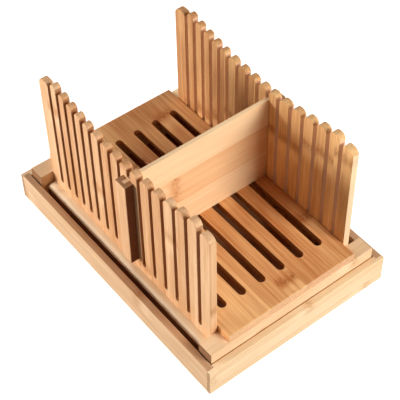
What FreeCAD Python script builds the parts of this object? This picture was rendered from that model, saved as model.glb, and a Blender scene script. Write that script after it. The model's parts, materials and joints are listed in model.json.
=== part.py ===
"""Bread slicer guide: a slotted cutting deck on two end rails, set in a crumb tray, with two
slotted comb guides standing beside the deck and a divider board that drops into their slots.

Frame: +X is the slicer's right, +Y runs towards its back, +Z is up.  The origin is on the
table, under the middle of the tray.  Millimetres.
"""
import FreeCAD, Part
import math
import os

import Sketcher

DRIVING_DIMENSIONS = [
    # crumb tray
    ("tray_width", 200.0),
    ("tray_length", 292.0),
    ("tray_height", 30.0),
    ("tray_wall", 7.0),
    ("lap_lip", 4.0),
    ("floor_rise", 2.0),
    ("floor_thick", 4.0),
    ("groove_depth", 3.0),
    ("tray_edge_round", 0.8),
    ("corner_pin_diameter", 3.0),
    ("corner_pin_length", 12.0),
    ("corner_pin_bite", 2.5),
    # end rails of the base
    ("base_gap", 1.0),
    ("rail_width", 17.0),
    ("rail_top", 40.5),
    ("rail_round", 1.5),
    # slotted deck
    ("deck_width", 143.0),
    ("deck_thick", 7.0),
    ("deck_setback", 2.0),
    ("deck_edge_round", 1.2),
    ("crumb_slot_count", 6),
    ("crumb_slot_pitch", 21.8),
    ("crumb_slot_width", 8.0),
    ("crumb_slot_margin", 26.5),
    # screws that hold the deck to the end rails, from below
    ("deck_screw_spacing", 55.0),
    ("deck_screw_shank", 3.4),
    ("deck_screw_head", 7.0),
    ("deck_screw_head_thick", 2.4),
    ("deck_screw_recess", 18.0),
    ("deck_screw_bite", 5.0),
    # comb guides
    ("comb_thick", 7.0),
    ("comb_side_gap", 0.2),
    ("comb_end_gap", 0.2),
    ("knife_slot", 4.2),
    ("knife_slot_floor", 39.0),
    ("saw_run_out", 20.0),
    ("slices_per_zone", 5),
    ("thin_slice", 12.0),
    ("medium_slice", 14.0),
    ("thick_slice", 16.0),
    ("back_finger_width", 14.7),
    ("comb_low", 154.5),
    ("comb_top_radius", 366.0),
    ("end_finger_top", 163.0),
    ("end_finger_round", 7.0),
    # foot glued and screwed along the outside of each comb
    ("foot_width", 8.8),
    ("foot_top", 29.3),
    ("foot_end_gap", 2.8),
    ("foot_round", 5.0),
    ("foot_screw_count", 4),
    ("foot_screw_spacing", 60.0),
    ("foot_screw_shank", 3.2),
    ("foot_screw_head", 6.4),
    ("foot_screw_head_depth", 1.8),
    ("foot_screw_length", 13.0),
    # divider board and the posts that clip it over the combs
    ("divider_slot", 10),
    ("divider_slack", 0.4),
    ("divider_top", 144.0),
    ("tongue_top", 142.0),
    ("tongue_length", 5.2),
    ("post_gap", 0.3),
    ("post_width", 14.0),
    ("post_depth", 8.5),
    ("post_bottom", 44.2),
    ("post_edge_round", 0.8),
    ("post_pin_diameter", 2.5),
    ("post_pin_spacing", 50.0),
]

doc = FreeCAD.newDocument("bread_slicer_guide")
size = doc.addObject("Spreadsheet::Sheet", "size")
for row, (alias, value) in enumerate(DRIVING_DIMENSIONS, start=1):
    size.set(f"A{row}", alias)
    size.set(f"B{row}", str(value))
    size.setAlias(f"B{row}", alias)
doc.recompute()

# Places worked out from the driving dimensions, as expressions for the model tree.
FLOOR_TOP = "(size.floor_rise + size.floor_thick)"
TRAY_IN_X = "(size.tray_width / 2 - size.tray_wall)"
TRAY_IN_Y = "(size.tray_length / 2 - size.tray_wall)"
LAP_Y = "(size.tray_length / 2 - size.lap_lip)"
RAIL_END_X = f"({TRAY_IN_X} - size.base_gap)"
RAIL_OUT_Y = f"({TRAY_IN_Y} - size.base_gap)"
RAIL_IN_Y = f"({RAIL_OUT_Y} - size.rail_width)"
RAIL_MID_Y = f"({RAIL_OUT_Y} - size.rail_width / 2)"
DECK_TOP = "(size.rail_top + size.deck_thick)"
DECK_END_Y = f"({RAIL_OUT_Y} - size.deck_setback)"
CRUMB_SLOT_END_Y = f"({DECK_END_Y} - size.crumb_slot_margin)"
COMB_IN_X = "(size.deck_width / 2 + size.comb_side_gap)"
COMB_OUT_X = f"({COMB_IN_X} + size.comb_thick)"
COMB_END_Y = f"({RAIL_IN_Y} - size.comb_end_gap)"
FOOT_END_Y = f"({RAIL_IN_Y} - size.foot_end_gap)"
FOOT_OUT_X = f"({COMB_OUT_X} + size.foot_width)"
FOOT_SCREW_Z = f"(({FLOOR_TOP} + size.foot_top) / 2)"
POST_IN_X = f"({COMB_OUT_X} + size.post_gap)"
POST_OUT_X = f"({POST_IN_X} + size.post_depth)"
TONGUE_END_X = f"({POST_IN_X} + size.tongue_length)"
DIVIDER_THICK = "(size.knife_slot - size.divider_slack)"
SLICES = ("size.thin_slice", "size.medium_slice", "size.thick_slice")
FIRST_SLOT_Y = f"({COMB_END_Y} - size.back_finger_width - size.knife_slot / 2)"


def number(expression):
    """The value that an expression has with the present sheet."""
    return float(size.evalExpression(expression))


def knife_slot_y(slot):
    """Expression for the middle of knife slot 1, 2, 3 ... counted from the back."""
    per_zone = int(size.slices_per_zone)
    steps = slot - 1
    terms = [FIRST_SLOT_Y]
    for zone, slice_size in enumerate(SLICES):
        count = min(max(steps - zone * per_zone, 0), per_zone)
        terms.append(f"{count} * {slice_size}")
    return "(" + " - ".join(terms) + ")"


KNIFE_SLOT_COUNT = 3 * int(size.slices_per_zone) + 1
DIVIDER_Y = knife_slot_y(int(size.divider_slot))


# ---------------------------------------------------------------- sketch and feature helpers

def new_body(label):
    body = doc.addObject("PartDesign::Body", label)
    body.Label = label
    return body


def origin_feature(body, role):
    return next(item for item in body.Origin.OriginFeatures if item.Role == role)


def new_sketch(body, plane, name, offset="0"):
    """A sketch on one of the body's origin planes, moved along the plane's normal."""
    sketch = body.newObject("Sketcher::SketchObject", name)
    sketch.AttachmentSupport = [(origin_feature(body, plane), "")]
    sketch.MapMode = "FlatFace"
    sketch.setExpression("AttachmentOffset.Base.z", offset)
    return sketch


def place(sketch, geometry, point, across, up):
    """Tie a sketch point to the sketch origin with two named distances."""
    for kind, expression in (("DistanceX", across), ("DistanceY", up)):
        index = sketch.addConstraint(
            Sketcher.Constraint(kind, -1, 1, geometry, point, number(expression)))
        sketch.setExpression(f"Constraints[{index}]", expression)


def add_outline(sketch, corners):
    """A closed outline of straight sides whose corners are pairs of expressions."""
    points = [FreeCAD.Vector(number(across), number(up), 0) for across, up in corners]
    first = sketch.GeometryCount
    for start, end in zip(points, points[1:] + points[:1]):
        sketch.addGeometry(Part.LineSegment(start, end), False)
    for side, (across, up) in enumerate(corners):
        before = first + (side - 1) % len(corners)
        sketch.addConstraint(Sketcher.Constraint("Coincident", before, 2, first + side, 1))
        place(sketch, first + side, 1, across, up)


def add_rectangle(sketch, low_across, high_across, low_up, high_up):
    add_outline(sketch, [(low_across, low_up), (high_across, low_up),
                         (high_across, high_up), (low_across, high_up)])


def add_circle(sketch, across, up, diameter):
    centre = FreeCAD.Vector(number(across), number(up), 0)
    circle = sketch.addGeometry(
        Part.Circle(centre, FreeCAD.Vector(0, 0, 1), number(diameter) / 2), False)
    place(sketch, circle, 3, across, up)
    index = sketch.addConstraint(
        Sketcher.Constraint("Diameter", circle, number(diameter)))
    sketch.setExpression(f"Constraints[{index}]", diameter)


def pad(body, sketch, length, name, reverse=False):
    feature = body.newObject("PartDesign::Pad", name)
    feature.Profile = sketch
    feature.Reversed = reverse
    feature.setExpression("Length", length)
    doc.recompute()
    return feature


def pocket(body, sketch, length, name, reverse=False):
    """A cut, checked to have taken something away."""
    before = body.Shape.Volume
    feature = body.newObject("PartDesign::Pocket", name)
    feature.Profile = sketch
    feature.Reversed = reverse
    feature.setExpression("Length", length)
    doc.recompute()
    if body.Shape.Volume >= before:
        raise RuntimeError(f"{body.Label}.{name} cuts nothing")
    return feature


def round_edges(body, name, radius, wanted):
    """Fillet every edge of the body's tip for which wanted(edge) is true."""
    tip = body.Tip
    names = [f"Edge{i}" for i, edge in enumerate(tip.Shape.Edges, start=1) if wanted(edge)]
    if not names:
        raise RuntimeError(f"{body.Label}.{name} finds no edge")
    feature = body.newObject("PartDesign::Fillet", name)
    feature.Base = (tip, names)
    feature.setExpression("Radius", radius)
    doc.recompute()
    return feature


def runs_along(edge, axis):
    """True for a straight edge parallel to the axis, 0 for X, 1 for Y or 2 for Z."""
    box = edge.BoundBox
    spans = [box.XLength, box.YLength, box.ZLength]
    along = spans.pop(axis)
    return max(spans) < 1e-4 and along > 1e-3


def middle(edge):
    return edge.BoundBox.Center


def signed(side, expression):
    """The expression, or its opposite on the left side."""
    return expression if side > 0 else f"-({expression})"


def span(side, inner, outer):
    """Low and high ends of a stretch that runs outwards from the middle plane."""
    ends = (signed(side, inner), signed(side, outer))
    return ends if side > 0 else ends[::-1]


# ---------------------------------------------------------------- crumb tray

def tray_side_rail(label, side):
    """Long wall of the tray, grooved for the floor; its ends sit in the short walls' rabbets."""
    body = new_body(label)
    low, high = span(side, TRAY_IN_X, "size.tray_width / 2")
    board = new_sketch(body, "XY_Plane", "BoardSketch")
    add_rectangle(board, low, high, f"-{LAP_Y}", LAP_Y)
    pad(body, board, "size.tray_height", "Board")
    low, high = span(side, TRAY_IN_X, f"{TRAY_IN_X} + size.groove_depth")
    groove = new_sketch(body, "XY_Plane", "FloorGrooveSketch", FLOOR_TOP)
    add_rectangle(groove, low, high, f"-{LAP_Y}", LAP_Y)
    pocket(body, groove, "size.floor_thick", "FloorGroove")
    for end in (1, -1):
        holes = new_sketch(body, "XZ_Plane", "PinHoleSketch", signed(-end, LAP_Y))
        for height in CORNER_PIN_HEIGHTS:
            add_circle(holes, signed(side, CORNER_PIN_X), height, "size.corner_pin_diameter")
        pocket(body, holes, "size.corner_pin_length - size.corner_pin_bite", "PinHoles",
               reverse=end > 0)
    top = number("size.tray_height")
    ease_edges(body, "TopEdges", lambda edge: runs_along(edge, 1) and middle(edge).z > top - 1e-3)
    return body


def tray_end_rail(label, end):
    """Short wall across the tray's full width, rabbeted where the long walls run into it."""
    body = new_body(label)
    low, high = span(end, TRAY_IN_Y, "size.tray_length / 2")
    board = new_sketch(body, "XY_Plane", "BoardSketch")
    add_rectangle(board, "-size.tray_width / 2", "size.tray_width / 2", low, high)
    pad(body, board, "size.tray_height", "Board")
    low, high = span(end, TRAY_IN_Y, LAP_Y)
    rabbets = new_sketch(body, "XY_Plane", "RabbetSketch", "size.tray_height")
    add_rectangle(rabbets, TRAY_IN_X, "size.tray_width / 2", low, high)
    add_rectangle(rabbets, "-size.tray_width / 2", f"-{TRAY_IN_X}", low, high)
    pocket(body, rabbets, "size.tray_height", "Rabbets")
    low, high = span(end, TRAY_IN_Y, f"{TRAY_IN_Y} + size.groove_depth")
    groove = new_sketch(body, "XY_Plane", "FloorGrooveSketch", FLOOR_TOP)
    reach = f"({TRAY_IN_X} + size.groove_depth)"
    add_rectangle(groove, f"-{reach}", reach, low, high)
    pocket(body, groove, "size.floor_thick", "FloorGroove")
    holes = new_sketch(body, "XZ_Plane", "PinHoleSketch", signed(-end, LAP_Y))
    for side in (1, -1):
        for height in CORNER_PIN_HEIGHTS:
            add_circle(holes, signed(side, CORNER_PIN_X), height, "size.corner_pin_diameter")
    pocket(body, holes, "size.corner_pin_bite", "PinHoles", reverse=end < 0)
    top = number("size.tray_height")
    ease_edges(body, "TopEdges", lambda edge: runs_along(edge, 0) and middle(edge).z > top - 1e-3)
    return body


CORNER_PIN_X = "(size.tray_width / 2 - size.tray_wall / 2)"
CORNER_PIN_HEIGHTS = (f"({FLOOR_TOP} + size.corner_pin_diameter * 1.5)",
                      "(size.tray_height - size.corner_pin_diameter * 2)")


def ease_edges(body, name, wanted):
    round_edges(body, name, "size.tray_edge_round", wanted)


def tray_floor(label):
    """Thin panel held in the grooves of all four walls."""
    body = new_body(label)
    reach_x = f"({TRAY_IN_X} + size.groove_depth)"
    reach_y = f"({TRAY_IN_Y} + size.groove_depth)"
    panel = new_sketch(body, "XY_Plane", "PanelSketch", "size.floor_rise")
    add_rectangle(panel, f"-{reach_x}", reach_x, f"-{reach_y}", reach_y)
    pad(body, panel, "size.floor_thick", "Panel")
    return body


def cylinder(name, diameter, length, at, turn):
    """A Part cylinder from the point at, turned from +Z by the rotation turn."""
    piece = doc.addObject("Part::Cylinder", name)
    piece.Placement.Rotation = turn
    piece.setExpression("Radius", f"{diameter} / 2")
    piece.setExpression("Height", length)
    for axis, expression in zip("xyz", at):
        piece.setExpression(f"Placement.Base.{axis}", expression)
    return piece


def group(label, pieces):
    """Identical fasteners kept together as one compound of solids."""
    bundle = doc.addObject("Part::Compound", label)
    bundle.Label = label
    bundle.Links = pieces
    return bundle


UPWARDS = FreeCAD.Rotation()
ALONG_X = FreeCAD.Rotation(FreeCAD.Vector(0, 1, 0), 90)
ALONG_Y = FreeCAD.Rotation(FreeCAD.Vector(1, 0, 0), -90)


def tray_corner_pins(label):
    """Blind dowels, two at each corner, from the short walls into the long walls' ends."""
    pins = []
    for end in (1, -1):
        start = (f"{LAP_Y} + size.corner_pin_bite - size.corner_pin_length" if end > 0
                 else f"-({LAP_Y} + size.corner_pin_bite)")
        for side in (1, -1):
            for height in CORNER_PIN_HEIGHTS:
                at = (signed(side, CORNER_PIN_X), start, height)
                pins.append(cylinder("CornerPin", "size.corner_pin_diameter",
                                     "size.corner_pin_length", at, ALONG_Y))
    return group(label, pins)


# ---------------------------------------------------------------- base: deck on end rails

DECK_SCREW_PLACES = ("-size.deck_screw_spacing", "0",
                     "size.deck_screw_spacing")
SCREW_SEAT_Z = f"({FLOOR_TOP} + size.deck_screw_recess)"


def end_rail(label, end):
    """Bar under one end of the deck, its outer top edge rounded, bored for three screws."""
    body = new_body(label)
    low, high = span(end, RAIL_IN_Y, RAIL_OUT_Y)
    bar = new_sketch(body, "XY_Plane", "BarSketch", FLOOR_TOP)
    add_rectangle(bar, f"-{RAIL_END_X}", RAIL_END_X, low, high)
    pad(body, bar, f"size.rail_top - {FLOOR_TOP}", "Bar")
    shanks = new_sketch(body, "XY_Plane", "ShankSketch", FLOOR_TOP)
    recesses = new_sketch(body, "XY_Plane", "RecessSketch", FLOOR_TOP)
    for across in DECK_SCREW_PLACES:
        add_circle(shanks, across, signed(end, RAIL_MID_Y), "size.deck_screw_shank")
        add_circle(recesses, across, signed(end, RAIL_MID_Y), "size.deck_screw_head")
    pocket(body, shanks, f"size.rail_top - {FLOOR_TOP}", "Shanks", reverse=True)
    pocket(body, recesses, "size.deck_screw_recess", "Recesses", reverse=True)
    top = number("size.rail_top")
    out = end * number(RAIL_OUT_Y)
    round_edges(body, "OuterTopEdge", "size.rail_round", lambda edge:
                runs_along(edge, 0) and middle(edge).z > top - 1e-3
                and abs(middle(edge).y - out) < 1e-3)
    return body


def slotted_deck(label):
    """Cutting surface with long round-ended slots that let the crumbs through."""
    body = new_body(label)
    board = new_sketch(body, "XY_Plane", "BoardSketch", "size.rail_top")
    add_rectangle(board, "-size.deck_width / 2", "size.deck_width / 2",
                  f"-{DECK_END_Y}", DECK_END_Y)
    pad(body, board, "size.deck_thick", "Board")
    first = "(-size.crumb_slot_pitch * (size.crumb_slot_count - 1) / 2)"
    slot = new_sketch(body, "XY_Plane", "CrumbSlotSketch", DECK_TOP)
    add_round_slot(slot, first, CRUMB_SLOT_END_Y, "size.crumb_slot_width")
    cut = pocket(body, slot, "size.deck_thick", "CrumbSlot")
    repeat(body, cut, "CrumbSlots", "X_Axis",
           "size.crumb_slot_pitch * (size.crumb_slot_count - 1)", "size.crumb_slot_count")
    pilots = new_sketch(body, "XY_Plane", "PilotSketch", "size.rail_top")
    for across in DECK_SCREW_PLACES:
        for end in (1, -1):
            add_circle(pilots, across, signed(end, RAIL_MID_Y), "size.deck_screw_shank")
    pocket(body, pilots, "size.deck_screw_bite", "Pilots", reverse=True)
    top = number(DECK_TOP)
    edge_x = number("size.deck_width / 2")
    edge_y = number(DECK_END_Y)
    round_edges(body, "TopEdges", "size.deck_edge_round", lambda edge:
                middle(edge).z > top - 1e-3
                and (abs(abs(middle(edge).x) - edge_x) < 1e-3
                     or abs(abs(middle(edge).y) - edge_y) < 1e-3))
    return body


def add_round_slot(sketch, across, half_length, width):
    """A slot centred on the sketch's X axis, with half-round ends."""
    reach = number(half_length) - number(width) / 2
    radius = number(width) / 2
    x = number(across)
    up = FreeCAD.Vector(0, 0, 1)
    far = Part.Circle(FreeCAD.Vector(x, reach, 0), up, radius)
    near = Part.Circle(FreeCAD.Vector(x, -reach, 0), up, radius)
    far_end = sketch.addGeometry(Part.ArcOfCircle(far, 0, math.pi), False)
    near_end = sketch.addGeometry(Part.ArcOfCircle(near, math.pi, 2 * math.pi), False)
    left = sketch.addGeometry(Part.LineSegment(FreeCAD.Vector(x - radius, reach, 0),
                                               FreeCAD.Vector(x - radius, -reach, 0)), False)
    right = sketch.addGeometry(Part.LineSegment(FreeCAD.Vector(x + radius, -reach, 0),
                                                FreeCAD.Vector(x + radius, reach, 0)), False)
    sketch.addConstraint(Sketcher.Constraint("Tangent", far_end, 2, left, 1))
    sketch.addConstraint(Sketcher.Constraint("Tangent", left, 2, near_end, 1))
    sketch.addConstraint(Sketcher.Constraint("Tangent", near_end, 2, right, 1))
    sketch.addConstraint(Sketcher.Constraint("Tangent", right, 2, far_end, 1))
    place(sketch, far_end, 3, across, f"{half_length} - {width} / 2")
    place(sketch, near_end, 3, across, f"-({half_length} - {width} / 2)")
    index = sketch.addConstraint(Sketcher.Constraint("Radius", far_end, radius))
    sketch.setExpression(f"Constraints[{index}]", f"{width} / 2")


def repeat(body, feature, name, axis, length, count, reverse=False):
    """A linear pattern of one feature along an origin axis of the body."""
    pattern = body.newObject("PartDesign::LinearPattern", name)
    pattern.Originals = [feature]
    pattern.Direction = (origin_feature(body, axis), [""])
    pattern.Reversed = reverse
    pattern.setExpression("Length", length)
    pattern.setExpression("Occurrences", count)
    body.Tip = pattern
    doc.recompute()
    return pattern


def screw(name, shank, head, head_thick, length, at, turn):
    """A plain screw: a head with a shank, the shank's far end at length from the seat."""
    cap = cylinder(name + "Head", head, head_thick, at(f"-({head_thick})"), turn)
    stem = cylinder(name + "Shank", shank, length, at("0"), turn)
    whole = doc.addObject("Part::MultiFuse", name)
    whole.Shapes = [cap, stem]
    return whole


def deck_screws(label):
    """Screws up through both end rails into the deck."""
    screws = []
    reach = f"(size.rail_top - {SCREW_SEAT_Z} + size.deck_screw_bite)"
    for end in (1, -1):
        for across in DECK_SCREW_PLACES:
            def at(shift, across=across, end=end):
                return (across, signed(end, RAIL_MID_Y), f"{SCREW_SEAT_Z} + {shift}")
            screws.append(screw("DeckScrew", "size.deck_screw_shank", "size.deck_screw_head",
                                "size.deck_screw_head_thick", reach, at, UPWARDS))
    return group(label, screws)


# ---------------------------------------------------------------- comb guides

def foot_screw_y(index):
    """Expression for the place along the comb of foot screw 0, 1, 2 ..."""
    return f"(({index} - (size.foot_screw_count - 1) / 2) * size.foot_screw_spacing)"


def comb_plate(label, side):
    """Upright board sawn into fingers; the knife runs in the slots between them."""
    body = new_body(label)
    low, high = span(side, COMB_IN_X, COMB_OUT_X)
    board = new_sketch(body, "YZ_Plane", "BoardSketch", low)
    add_comb_outline(board)
    pad(body, board, "size.comb_thick", "Board")
    cut_knife_slots(body, low)
    round_finger_tips(body)
    holes = new_sketch(body, "YZ_Plane", "FootScrewSketch", high)
    for index in range(int(size.foot_screw_count)):
        add_circle(holes, foot_screw_y(index), FOOT_SCREW_Z, "size.foot_screw_shank")
    pocket(body, holes, "size.comb_thick", "FootScrewHoles")
    sinks = new_sketch(body, "YZ_Plane", "HeadRecessSketch", high if side < 0 else low)
    for index in range(int(size.foot_screw_count)):
        add_circle(sinks, foot_screw_y(index), FOOT_SCREW_Z, "size.foot_screw_head")
    pocket(body, sinks, "size.foot_screw_head_depth", "HeadRecesses", reverse=side > 0)
    return body


def add_comb_outline(sketch):
    """The comb seen from its side: a hollow arc over the fingers between two lower ends."""
    back = knife_slot_y(1)
    front = knife_slot_y(KNIFE_SLOT_COUNT)
    centre_z = "(size.comb_low + size.comb_top_radius)"
    radius = number("size.comb_top_radius")
    arc_z = {}
    for place_y in (back, front):
        arc_z[place_y] = number(centre_z) - (radius ** 2 - number(place_y) ** 2) ** 0.5
    corners = [(front, None), (front, "size.end_finger_top"),
               (f"-{COMB_END_Y}", "size.end_finger_top"), (f"-{COMB_END_Y}", FLOOR_TOP),
               (COMB_END_Y, FLOOR_TOP), (COMB_END_Y, "size.end_finger_top"),
               (back, "size.end_finger_top"), (back, None)]
    points = [FreeCAD.Vector(number(y), arc_z[y] if z is None else number(z), 0)
              for y, z in corners]
    for start, end in zip(points, points[1:]):
        sketch.addGeometry(Part.LineSegment(start, end), False)
    last = len(points) - 2
    for line in range(last):
        sketch.addConstraint(Sketcher.Constraint("Coincident", line, 2, line + 1, 1))
    for line in range(1, last + 1):
        place(sketch, line, 1, *corners[line])
    arc = Part.Arc(points[0], FreeCAD.Vector(0, number("size.comb_low"), 0), points[-1])
    top = sketch.addGeometry(arc, False)
    sketch.addConstraint(Sketcher.Constraint("Coincident", top, 1, 0, 1))
    sketch.addConstraint(Sketcher.Constraint("Coincident", top, 2, last, 2))
    sketch.addConstraint(Sketcher.Constraint("Vertical", 0))
    sketch.addConstraint(Sketcher.Constraint("Vertical", last))
    place(sketch, top, 3, "0", centre_z)
    index = sketch.addConstraint(Sketcher.Constraint("Radius", top, radius))
    sketch.setExpression(f"Constraints[{index}]", "size.comb_top_radius")


def cut_knife_slots(body, low):
    """Three evenly pitched runs of slots, thin slices at the back and thick at the front."""
    per_zone = int(size.slices_per_zone)
    for zone, slice_size in enumerate(SLICES):
        middle_y = knife_slot_y(zone * per_zone + 1)
        slot = new_sketch(body, "YZ_Plane", f"KnifeSlotSketch{zone}", low)
        add_slot_from_above(slot, middle_y)
        cut = pocket(body, slot, "size.comb_thick", f"KnifeSlot{zone}", reverse=True)
        more = 1 if zone == len(SLICES) - 1 else 0
        repeat(body, cut, f"KnifeSlots{zone}", "Y_Axis",
               f"(size.slices_per_zone - 1 + {more}) * {slice_size}",
               f"size.slices_per_zone + {more}", reverse=True)


def add_slot_from_above(sketch, middle_y):
    """A saw slot with a round floor, open through the top of the comb."""
    half = number("size.knife_slot") / 2
    y = number(middle_y)
    low = number("size.knife_slot_floor") + half
    top_z = "(size.end_finger_top + size.saw_run_out)"
    top = number(top_z)
    vector = FreeCAD.Vector
    left = sketch.addGeometry(Part.LineSegment(vector(y - half, top, 0),
                                               vector(y - half, low, 0)), False)
    floor = sketch.addGeometry(Part.ArcOfCircle(
        Part.Circle(vector(y, low, 0), vector(0, 0, 1), half),
        math.pi, 2 * math.pi), False)
    right = sketch.addGeometry(Part.LineSegment(vector(y + half, low, 0),
                                                vector(y + half, top, 0)), False)
    lid = sketch.addGeometry(Part.LineSegment(vector(y + half, top, 0),
                                              vector(y - half, top, 0)), False)
    sketch.addConstraint(Sketcher.Constraint("Tangent", left, 2, floor, 1))
    sketch.addConstraint(Sketcher.Constraint("Tangent", floor, 2, right, 1))
    sketch.addConstraint(Sketcher.Constraint("Coincident", right, 2, lid, 1))
    sketch.addConstraint(Sketcher.Constraint("Coincident", lid, 2, left, 1))
    sketch.addConstraint(Sketcher.Constraint("Horizontal", lid))
    sketch.addConstraint(Sketcher.Constraint("Vertical", right))
    place(sketch, floor, 3, middle_y, "size.knife_slot_floor + size.knife_slot / 2")
    place(sketch, left, 1, f"{middle_y} - size.knife_slot / 2", top_z)


# Each corner's round takes this share of its finger's width; a half would leave no flat between.
TIP_ROUND_SHARE = 0.45


def round_finger_tips(body):
    """Round the tips: nearly half round on the fingers, a wide round on the comb's ends."""
    per_zone = int(size.slices_per_zone)
    half_slot = number("size.knife_slot") / 2
    tip_z = number("size.comb_low") / 2
    for zone, slice_size in enumerate(SLICES):
        edges_y = []
        for slot in range(zone * per_zone + 1, (zone + 1) * per_zone + 1):
            edges_y.append(number(knife_slot_y(slot)) - half_slot)
            edges_y.append(number(knife_slot_y(slot + 1)) + half_slot)
        round_edges(body, f"FingerTips{zone}", f"({slice_size} - size.knife_slot) * {TIP_ROUND_SHARE}",
                    lambda edge: is_tip(edge, tip_z, edges_y))
    inner = [number(knife_slot_y(1)) + half_slot,
             number(knife_slot_y(KNIFE_SLOT_COUNT)) - half_slot]
    round_edges(body, "EndFingerInner", "size.end_finger_round / 2",
                lambda edge: is_tip(edge, tip_z, inner))
    end_y = number(COMB_END_Y)
    round_edges(body, "EndFingerOuter", "size.end_finger_round",
                lambda edge: is_tip(edge, tip_z, [end_y, -end_y]))


def is_tip(edge, above, places):
    """True for an edge across the comb's thickness, high up, at one of the given places."""
    centre = middle(edge)
    near = any(abs(centre.y - y) < 1e-3 for y in places)
    return runs_along(edge, 0) and centre.z > above and near


def comb_foot(label, side):
    """Quarter-round batten along the comb's outer bottom edge, which stands on the tray."""
    body = new_body(label)
    low, high = span(side, COMB_OUT_X, FOOT_OUT_X)
    batten = new_sketch(body, "XY_Plane", "BattenSketch", FLOOR_TOP)
    add_rectangle(batten, low, high, f"-{FOOT_END_Y}", FOOT_END_Y)
    pad(body, batten, f"size.foot_top - {FLOOR_TOP}", "Batten")
    pilots = new_sketch(body, "YZ_Plane", "PilotSketch", signed(side, COMB_OUT_X))
    for index in range(int(size.foot_screw_count)):
        add_circle(pilots, foot_screw_y(index), FOOT_SCREW_Z, "size.foot_screw_shank")
    depth = "size.foot_screw_length + size.foot_screw_head_depth - size.comb_thick"
    pocket(body, pilots, depth, "Pilots", reverse=side > 0)
    top = number("size.foot_top")
    out = side * number(FOOT_OUT_X)
    round_edges(body, "OuterTopEdge", "size.foot_round", lambda edge:
                runs_along(edge, 1) and middle(edge).z > top - 1e-3
                and abs(middle(edge).x - out) < 1e-3)
    return body


def foot_screws(label, side):
    """Screws from the comb's inner face, below the deck, into the foot."""
    turn = ALONG_X if side > 0 else ALONG_X.inverted()
    seat = f"({COMB_IN_X} + size.foot_screw_head_depth)"
    screws = []
    for index in range(int(size.foot_screw_count)):
        def at(shift, index=index):
            return (signed(side, f"({seat} + {shift})"), foot_screw_y(index), FOOT_SCREW_Z)
        screws.append(screw("FootScrew", "size.foot_screw_shank", "size.foot_screw_head",
                            "size.foot_screw_head_depth", "size.foot_screw_length", at, turn))
    return group(label, screws)


# ---------------------------------------------------------------- divider

POST_PIN_X = f"({POST_IN_X} + size.tongue_length / 2)"
POST_PIN_HEIGHTS = tuple(
    f"((size.post_bottom + size.tongue_top) / 2 + {half} * size.post_pin_spacing / 2)"
    for half in (1, -1))


def divider_board(label):
    """Thin board across both combs, its ends reduced to tongues that enter the posts."""
    body = new_body(label)
    board = new_sketch(body, "XZ_Plane", "BoardSketch", f"-({DIVIDER_Y}) - {DIVIDER_THICK} / 2")
    add_outline(board, [
        (f"-{TONGUE_END_X}", DECK_TOP), (TONGUE_END_X, DECK_TOP),
        (TONGUE_END_X, "size.tongue_top"), (POST_IN_X, "size.tongue_top"),
        (POST_IN_X, "size.divider_top"), (f"-{POST_IN_X}", "size.divider_top"),
        (f"-{POST_IN_X}", "size.tongue_top"), (f"-{TONGUE_END_X}", "size.tongue_top")])
    pad(body, board, DIVIDER_THICK, "Board")
    holes = new_sketch(body, "XZ_Plane", "PinHoleSketch",
                       f"-({DIVIDER_Y}) - {DIVIDER_THICK} / 2")
    for side in (1, -1):
        for height in POST_PIN_HEIGHTS:
            add_circle(holes, signed(side, POST_PIN_X), height, "size.post_pin_diameter")
    pocket(body, holes, DIVIDER_THICK, "PinHoles", reverse=True)
    return body


def divider_post(label, side):
    """Upright block outside a comb, slotted from above for the divider's tongue."""
    body = new_body(label)
    low, high = span(side, POST_IN_X, POST_OUT_X)
    low_y = f"({DIVIDER_Y} - size.post_width / 2)"
    high_y = f"({DIVIDER_Y} + size.post_width / 2)"
    block = new_sketch(body, "XY_Plane", "BlockSketch", "size.post_bottom")
    add_rectangle(block, low, high, low_y, high_y)
    pad(body, block, "size.tongue_top - size.post_bottom", "Block")
    outer = side * number(POST_OUT_X)
    round_edges(body, "OuterEdges", "size.post_edge_round", lambda edge:
                (runs_along(edge, 2) or runs_along(edge, 1))
                and abs(middle(edge).x - outer) < 1e-3)
    low, high = span(side, POST_IN_X, TONGUE_END_X)
    mortise = new_sketch(body, "XY_Plane", "MortiseSketch", "size.tongue_top")
    add_rectangle(mortise, low, high, f"{DIVIDER_Y} - {DIVIDER_THICK} / 2",
                  f"{DIVIDER_Y} + {DIVIDER_THICK} / 2")
    pocket(body, mortise, f"size.tongue_top - {DECK_TOP}", "Mortise")
    holes = new_sketch(body, "XZ_Plane", "PinHoleSketch", f"-{low_y}")
    for height in POST_PIN_HEIGHTS:
        add_circle(holes, signed(side, POST_PIN_X), height, "size.post_pin_diameter")
    pocket(body, holes, "size.post_width", "PinHoles")
    return body


def post_pins(label, side):
    """Two dowels through each post and the tongue inside it."""
    pins = []
    for height in POST_PIN_HEIGHTS:
        at = (signed(side, POST_PIN_X), f"{DIVIDER_Y} - size.post_width / 2", height)
        pins.append(cylinder("PostPin", "size.post_pin_diameter", "size.post_width",
                             at, ALONG_Y))
    return group(label, pins)


# ---------------------------------------------------------------- build, check and write

RIGHT, LEFT = 1, -1
BACK, FRONT = 1, -1

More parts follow.
